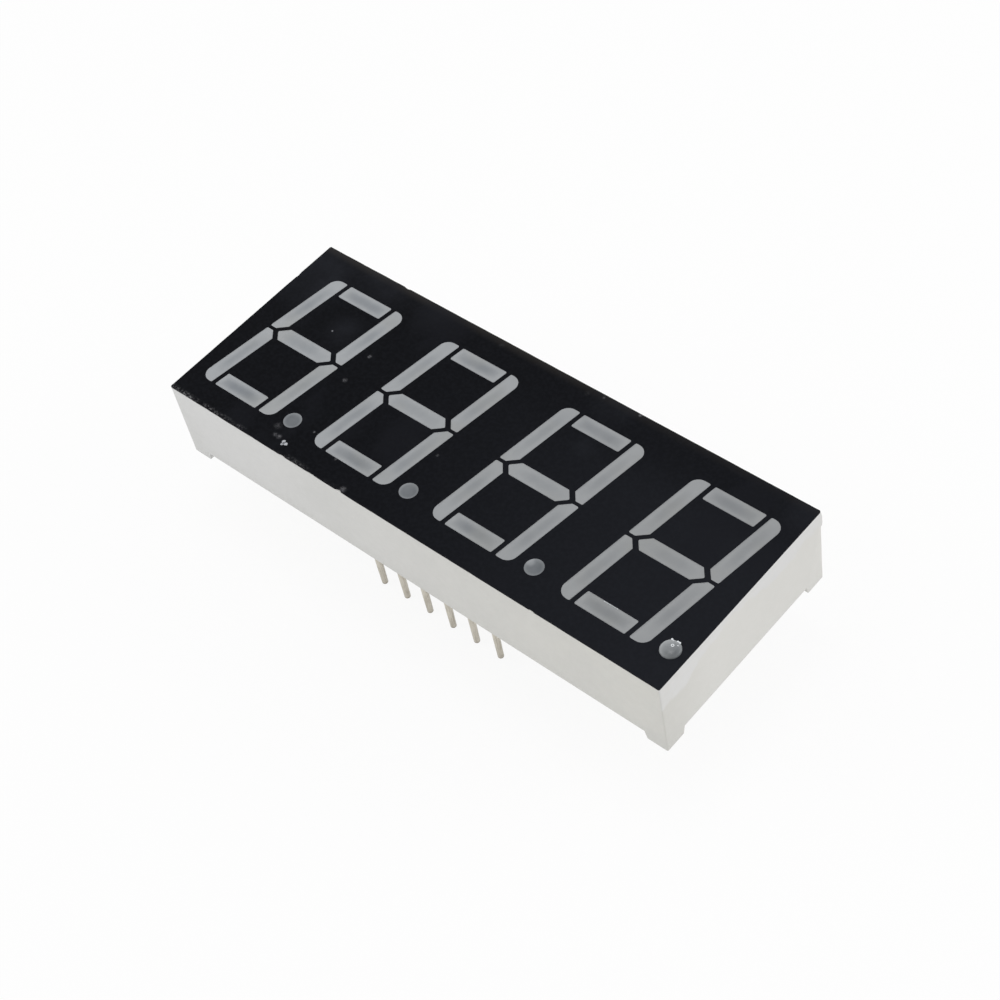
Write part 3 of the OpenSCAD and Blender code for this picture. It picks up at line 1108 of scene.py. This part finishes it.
@dataclass
class Digits:
    """The resin windows of the four digits, with a last point that stands up like a drop, each point painted
    paler on one side and darker on the other.

    A gleam is a place in plan and its radius.
    """

    segments: str = "abcdefg"
    shades: dict[str, float] = field(default_factory=lambda: {"a": 0.66, "d": 0.82, "g": 0.36})
    plain_shade: float = 0.46
    dot_spacing: float = 0.05 * MM
    dot_ground: float = 0.48
    dot_shade: float = 0.26
    # Painted light and shade across the points: paler towards the back left.
    dot_light_tilt: float = 0.08
    dot_climb: float = 0.2 * MM
    dot_shade_reach: float = 0.3 * MM
    gleams: dict[int, Triple] = field(default_factory=lambda: {3: (10.66 * MM, -6.2 * MM, 0.5 * MM)})
    drop_digit: int = 4
    drop_bulge: float = 0.28 * MM
    drop_overhang: float = 0.05 * MM
    drop_lift: float = 0.02 * MM
    drop_shift: Pair = (-0.07 * MM, 0.03 * MM)
    drop_ground: float = 0.42
    # The drop's painted light and shade: paler towards the back left, darker towards the front right.
    drop_light_tilt: float = 0.55
    drop_light_tilt_way: Pair = (-0.9, 0.43)

    def build(self) -> Iterator[bpy.types.Object]:
        """Makes the pieces, digit by digit.

        Yields:
            Each digit's bars and then its point.
        """
        for digit in DIGIT_NUMBERS:
            for segment in self.segments:
                fill = WindowFill(f"digit_{digit}_segment_{segment}", f"digit_{digit}_window_{segment}")
                fill.shade = self.shades.get(segment, self.plain_shade)
                yield fill.build()
            yield self.point(digit).build()

    def point(self, digit: int) -> WindowFill:
        """Describes a digit's decimal point.

        Args:
            digit: The digit, from 1.

        Returns:
            The filling of its round window.
        """
        fill = WindowFill(
            f"digit_{digit}_decimal_point", f"digit_{digit}_point",
            spacing=self.dot_spacing, ground=self.dot_ground, shade=self.dot_shade, tilt=self.dot_light_tilt,
            climb=self.dot_climb, shade_reach=self.dot_shade_reach,
            gleam=self.gleams.get(digit), finish=POINT_MILK,
        )
        if digit == self.drop_digit:
            fill.bulge = self.drop_bulge
            fill.overhang = self.drop_overhang
            fill.rim_lift = self.drop_lift
            fill.shift = self.drop_shift
            fill.ground = self.drop_ground
            fill.tilt = self.drop_light_tilt
            fill.light_tilt_way = self.drop_light_tilt_way
            fill.finish = POINT_WET
        return fill


@dataclass
class Pins:
    """The twelve pins, with a coat of tin that is thickest under the board and thins out to the tip."""

    spacing: float = 0.3 * MM
    coat: float = 0.032 * MM
    tip_coat: float = 0.01 * MM
    coat_top: float = 0.2 * MM
    coat_full: float = -1.4 * MM
    thin_from: float = -3.6 * MM

    def build(self) -> Iterator[bpy.types.Object]:
        """Makes the pieces.

        Yields:
            The pins, in the order of their numbers.
        """
        for number in PIN_NUMBERS:
            node = f"pin_{number}"
            bm = solid_copy(node)
            self.swell(bm, node)
            yield finish_piece(bm, f"{node}_tinned", PIN_TIN, Slot.PIN, node)

    def swell(self, bm: bmesh.types.BMesh, node: str) -> None:
        """Cuts a pin into short lengths and moves its skin out by the coat.

        Args:
            bm: The pin's mesh.
            node: The pin's node.
        """
        low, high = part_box(node)
        middle = ((low + high) / 2).xy
        for step in range(1, math.ceil((self.coat_top - low.z) / self.spacing)):
            slice_faces(bm, bm.faces, UP * (low.z + step * self.spacing), UP)
        for vert in bm.verts:
            out = vert.co.xy - middle
            thin = smooth_step((self.thin_from - vert.co.z) / (self.thin_from - low.z))
            start = smooth_step((self.coat_top - vert.co.z) / (self.coat_top - self.coat_full))
            vert.co.xy += out.normalized() * (self.coat + (self.tip_coat - self.coat) * thin) * start


@dataclass
class BackPotting:
    """The resin over the back of the board, drawn up at the walls and the pins."""

    GHOST = "ghost"

    node: str = "back_resin"
    spacing: float = 0.25 * MM
    wall_climb: float = 0.14 * MM
    pin_climb: float = 0.16 * MM
    reach: float = 0.5 * MM
    sag: float = 0.05 * MM
    ripple_length: float = 6.0 * MM
    calm_reach: float = 2.0 * MM
    land_radius: float = 0.62 * MM
    via_radius: float = 0.42 * MM
    track_half: float = 0.16 * MM
    track_length: float = 2.2 * MM
    blur: float = 0.34 * MM

    def build(self) -> Iterator[bpy.types.Object]:
        """Makes the piece.

        Yields:
            The potting.
        """
        bm = solid_copy(self.node)
        low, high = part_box(self.node)
        level = low.z
        cut_grid(bm, level, Vector((1, 0, 0)), self.spacing)
        cut_grid(bm, level, Vector((0, 1, 0)), self.spacing)
        pins = list(self.pin_places())
        layer = bm.verts.layers.float.new(self.GHOST)
        for vert in {v for f in faces_at(bm, level) for v in f.verts}:
            wall = min(high.x - abs(vert.co.x), high.y - abs(vert.co.y))
            pin = min((vert.co.xy - place).length for place in pins)
            vert[layer] = max(self.ghost_at(vert.co.xy, place) for place in pins)
            climb = self.wall_climb * math.exp(-wall / self.reach)
            climb += self.pin_climb * math.exp(-pin / self.reach)
            ripple = self.sag * noise.noise(vert.co / self.ripple_length)
            vert.co.z += ripple * smooth_step(wall / self.calm_reach) - climb
        yield finish_piece(bm, "back_potting", POTTING_CREAM, Slot.BACK_RESIN, self.node)

    def ghost_at(self, point: Vector, pin: Vector) -> float:
        """Says how much of one pin's land, track and via shows through at a point.

        Args:
            point: The point in plan.
            pin: The pin's place.

        Returns:
            The share, 0 to 1.
        """
        via = Vector((pin.x, pin.y - math.copysign(self.track_length, pin.y)))
        reaches = (
            (point - pin).length - self.land_radius,
            (point - via).length - self.via_radius,
            distance_to([(pin, via)], point) - self.track_half,
        )
        return smooth_step(0.5 - min(reaches) / self.blur)

    def pin_places(self) -> Iterator[Vector]:
        """Lists the pins' places.

        Yields:
            Each pin's place in plan.
        """
        for number in PIN_NUMBERS:
            low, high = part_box(f"pin_{number}")
            yield ((low + high) / 2).xy


@dataclass
class ResinBubblesAndGlint:
    """The bubbles at the rim of the last point, and a row of tiny white beads along a bar's upper edge that
    stand for a glint, a painted highlight.

    A bubble is a place and its radius. The radii in the row run from row_least up, in shares of row_radius.
    """

    bubbles: tuple[tuple[float, float, float, float], ...] = (
        (23.33 * MM, -5.68 * MM, 8.08 * MM, 0.1 * MM),
        (23.52 * MM, -5.75 * MM, 8.17 * MM, 0.05 * MM),
        (23.78 * MM, -5.62 * MM, 8.08 * MM, 0.1 * MM),
        (23.94 * MM, -5.61 * MM, 8.07 * MM, 0.1 * MM),
        (24.04 * MM, -5.93 * MM, 8.19 * MM, 0.06 * MM),
    )
    ring_centre: Triple = (23.75 * MM, -6.15 * MM, 8.28 * MM)
    ring_radius: float = 0.095 * MM
    ring_tube: float = 0.035 * MM
    ring_steps: int = 20
    tube_steps: int = 8
    # The row of white beads that stands for a painted glint along the bar's upper edge.
    row_start: Triple = (17.3 * MM, -5.83 * MM, 8.0 * MM)
    row_end: Triple = (18.5 * MM, -5.81 * MM, 8.0 * MM)
    row_count: int = 14
    row_radius: float = 0.035 * MM
    row_least: float = 0.45
    row_spread: float = 0.75
    row_step: float = 0.73
    row_seed: float = 5.2

    def build(self) -> Iterator[bpy.types.Object]:
        """Makes the piece.

        Yields:
            All the bubbles and the glint's beads as one piece.
        """
        bm = bmesh.new()
        for x, y, z, radius in (*self.bubbles, *self.row()):
            place = Matrix.Translation((x, y, z))
            bmesh.ops.create_icosphere(bm, subdivisions=3, radius=radius, matrix=place)
        self.add_ring(bm)
        yield finish_piece(bm, "resin_bubbles_and_glint", BUBBLE_AND_GLINT_WHITE, None, None)

    def add_ring(self, bm: bmesh.types.BMesh) -> None:
        """Adds the open bubble on the drop, of which the rim is left.

        Args:
            bm: The mesh that takes the ring.
        """
        centre = Vector(self.ring_centre)
        aside = Matrix.Translation(centre + Vector((self.ring_radius, 0, 0)))
        upright = Matrix.Rotation(math.pi / 2, 4, "X")
        made = bmesh.ops.create_circle(
            bm, segments=self.tube_steps, radius=self.ring_tube, matrix=aside @ upright
        )
        edges = list({e for v in made["verts"] for e in v.link_edges})
        before = set(bm.faces)
        bmesh.ops.spin(
            bm, geom=made["verts"] + edges, cent=centre, axis=UP, angle=math.tau,
            steps=self.ring_steps, use_merge=True,
        )
        bmesh.ops.recalc_face_normals(bm, faces=list(set(bm.faces) - before))

    def row(self) -> Iterator[tuple[float, float, float, float]]:
        """Lists the tiny beads of the painted glint, uneven along their row.

        Yields:
            Each one's place and radius.
        """
        start, end = Vector(self.row_start), Vector(self.row_end)
        for step in range(self.row_count):
            size = self.row_least + self.row_spread * share_of_noise(step * self.row_step, self.row_seed)
            place = start.lerp(end, step / (self.row_count - 1))
            yield (*place, self.row_radius * size)


@dataclass
class FaceDust:
    """The white crumb and the loose flakes that lie on the face.

    A flake is a place in plan and its radius.
    """

    flakes: tuple[Triple, ...] = (
        (-13.05 * MM, -8.36 * MM, 0.15 * MM),
        (-12.97 * MM, -8.64 * MM, 0.13 * MM),
        (-12.72 * MM, -8.48 * MM, 0.16 * MM),
        (-18.12 * MM, 2.42 * MM, 0.05 * MM),
    )
    flatness: float = 0.45
    lumpiness: float = 0.45
    lump_length: float = 0.9

    def build(self) -> Iterator[bpy.types.Object]:
        """Makes the piece.

        Yields:
            All the flakes as one piece.
        """
        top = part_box("face_film")[1].z
        bm = bmesh.new()
        for x, y, radius in self.flakes:
            made = bmesh.ops.create_icosphere(bm, subdivisions=2, radius=radius)
            for vert in made["verts"]:
                wave = vert.co / (radius * self.lump_length) + Vector((x, y, 0)) / MM
                vert.co *= 1 + self.lumpiness * noise.noise(wave)
                vert.co.z *= self.flatness
            bmesh.ops.translate(bm, verts=made["verts"], vec=Vector((x, y, top)))
        yield finish_piece(bm, "face_dust", CRUMB_WHITE, None, None)


@dataclass
class InnerWorks:
    """The board and all that it carries, which keep their solids."""

    finishes: dict[str, Finish] = field(
        default_factory=lambda: {
            "circuit_board": BOARD_LAMINATE,
            "front_pads": COPPER_FLASH,
            "back_tracks": COPPER_FLASH,
            "solder_joints": SOLDER_GREY,
            **{f"digit_{digit}_led_dies": DIE_CRYSTAL for digit in DIGIT_NUMBERS},
            **{f"digit_{digit}_bond_wires": WIRE_GOLD for digit in DIGIT_NUMBERS},
        }
    )

    def build(self) -> Iterator[bpy.types.Object]:
        """Dresses each solid.

        Yields:
            The dressed solids.
        """
        for node, finish in self.finishes.items():
            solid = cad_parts[node]
            solid.data.materials.clear()
            solid.data.materials.append(finish.material())
            yield solid


@dataclass(frozen=True)
class ViewPoint:
    """The camera: what it looks at, from where, and through which lens."""

    aim: Triple = (4.991 * MM, -3.093 * MM, 8.0 * MM)
    distance: float = 151.077 * MM
    azimuth: float = math.radians(50.946)
    elevation: float = math.radians(50.303)
    roll: float = math.radians(-12.842)
    lens: float = 72.723
    sensor: float = 36.0
    near: float = 0.005

    def build(self) -> None:
        """Makes the camera and gives it to the scene."""
        back = Vector((
            math.sin(self.azimuth) * math.cos(self.elevation),
            -math.cos(self.azimuth) * math.cos(self.elevation),
            math.sin(self.elevation),
        ))
        level = Vector((math.cos(self.azimuth), math.sin(self.azimuth), 0))
        right = level * math.cos(self.roll) + back.cross(level) * math.sin(self.roll)
        up = back.cross(right)
        data = bpy.data.cameras.new("camera")
        data.lens = self.lens
        data.sensor_width = self.sensor
        data.clip_start = self.near
        camera = bpy.data.objects.new("camera", data)
        turn = Matrix((right, up, back)).transposed().to_4x4()
        camera.matrix_world = Matrix.Translation(Vector(self.aim) + back * self.distance) @ turn
        bpy.context.scene.collection.objects.link(camera)
        bpy.context.scene.camera = camera


@dataclass(frozen=True)
class Softbox:
    """A square lamp that looks at the part: where it hangs, its side and its power."""

    name: str
    place: Triple
    side: float
    watts: float

    def build(self) -> None:
        """Hangs the lamp."""
        data = bpy.data.lights.new(self.name, "AREA")
        data.shape = "SQUARE"
        data.size = self.side
        data.energy = self.watts
        lamp = bpy.data.objects.new(self.name, data)
        lamp.location = self.place
        lamp.rotation_euler = Vector(self.place).to_track_quat("Z", "Y").to_euler()
        bpy.context.scene.collection.objects.link(lamp)


@dataclass(frozen=True)
class Studio:
    """A white tent with soft lamps around a white table."""

    tent: float = 0.78
    table_half: float = 1.2
    table_tone: Colour = (0.86, 0.86, 0.86, 1.0)
    table_roughness: float = 0.9
    white: Colour = (1.0, 1.0, 1.0, 1.0)
    clean_share: float = 0.9
    lamps: tuple[Softbox, ...] = (
        Softbox("left_box", (-0.20, -0.16, 0.14), 0.16, 0.12),
        Softbox("far_box", (0.20, 0.18, 0.12), 0.14, 0.16),
        Softbox("top_box", (-0.02, 0.04, 0.34), 0.10, 0.14),
    )

    def build(self) -> None:
        """Makes the world, the lamps and the table."""
        bpy.context.scene.view_settings.view_transform = "Standard"
        self.make_tent()
        for lamp in self.lamps:
            lamp.build()
        self.make_table()

    @staticmethod
    def seen(tree: bpy.types.NodeTree) -> Socket:
        """Gives 1 on a ray that shows the surroundings, straight or in gloss or glass.

        Args:
            tree: The nodes of the world or of a material.

        Returns:
            The value.
        """
        path = tree.nodes.new("ShaderNodeLightPath")
        total = path.outputs["Is Camera Ray"]
        for kind in ("Is Glossy Ray", "Is Transmission Ray"):
            node = tree.nodes.new("ShaderNodeMath")
            node.operation = "MAXIMUM"
            tree.links.new(total, node.inputs[0])
            tree.links.new(path.outputs[kind], node.inputs[1])
            total = node.outputs[0]
        return total

    def make_tent(self) -> None:
        """Lights the world evenly, and shows it white."""
        world = bpy.data.worlds.new("tent")
        world.use_nodes = True
        bpy.context.scene.world = world
        tree = world.node_tree
        sky = tree.nodes["Background"]
        sky.inputs["Color"].default_value = self.white
        level = tree.nodes.new("ShaderNodeMapRange")
        level.inputs["To Min"].default_value = self.tent
        level.inputs["To Max"].default_value = 1.0
        tree.links.new(self.seen(tree), level.inputs["Value"])
        tree.links.new(level.outputs["Result"], sky.inputs["Strength"])

    def make_table(self) -> None:
        """Lays a white table under the pins, which keeps a light shadow."""
        bm = bmesh.new()
        bmesh.ops.create_grid(bm, x_segments=1, y_segments=1, size=self.table_half)
        bmesh.ops.translate(bm, verts=bm.verts, vec=Vector((0, 0, SOLID_BOX[0].z)))
        mesh = bpy.data.meshes.new("table")
        bm.to_mesh(mesh)
        bm.free()
        table = bpy.data.objects.new("table", mesh)
        bpy.context.scene.collection.objects.link(table)
        material = bpy.data.materials.new("table_white")
        material.use_nodes = True
        tree = material.node_tree
        shader = tree.nodes["Principled BSDF"]
        shader.inputs["Base Color"].default_value = self.table_tone
        shader.inputs["Roughness"].default_value = self.table_roughness
        shader.inputs["Specular IOR Level"].default_value = 0.0
        glow = tree.nodes.new("ShaderNodeEmission")
        glow.inputs["Color"].default_value = self.white
        share = tree.nodes.new("ShaderNodeMath")
        share.operation = "MULTIPLY"
        share.inputs[1].default_value = self.clean_share
        tree.links.new(self.seen(tree), share.inputs[0])
        both = tree.nodes.new("ShaderNodeMixShader")
        tree.links.new(share.outputs[0], both.inputs[0])
        tree.links.new(shader.outputs[0], both.inputs[1])
        tree.links.new(glow.outputs[0], both.inputs[2])
        tree.links.new(both.outputs[0], tree.nodes["Material Output"].inputs["Surface"])
        mesh.materials.append(material)


def main() -> None:
    """Builds the view, the studio and every sub-assembly in order, and reports each piece."""
    logging.basicConfig(level=logging.INFO, format="%(message)s")
    ViewPoint().build()
    Studio().build()
    makers: list[Callable[[], Iterator[bpy.types.Object]]] = [
        Housing().build,
        BlackFace().build,
        Digits().build,
        Pins().build,
        BackPotting().build,
        InnerWorks().build,
        FaceDust().build,
        ResinBubblesAndGlint().build,
    ]
    for make in makers:
        for piece in make():
            LOG.info("%s: %d faces", piece.name, len(piece.data.polygons))


if __name__ == "__main__":
    main()
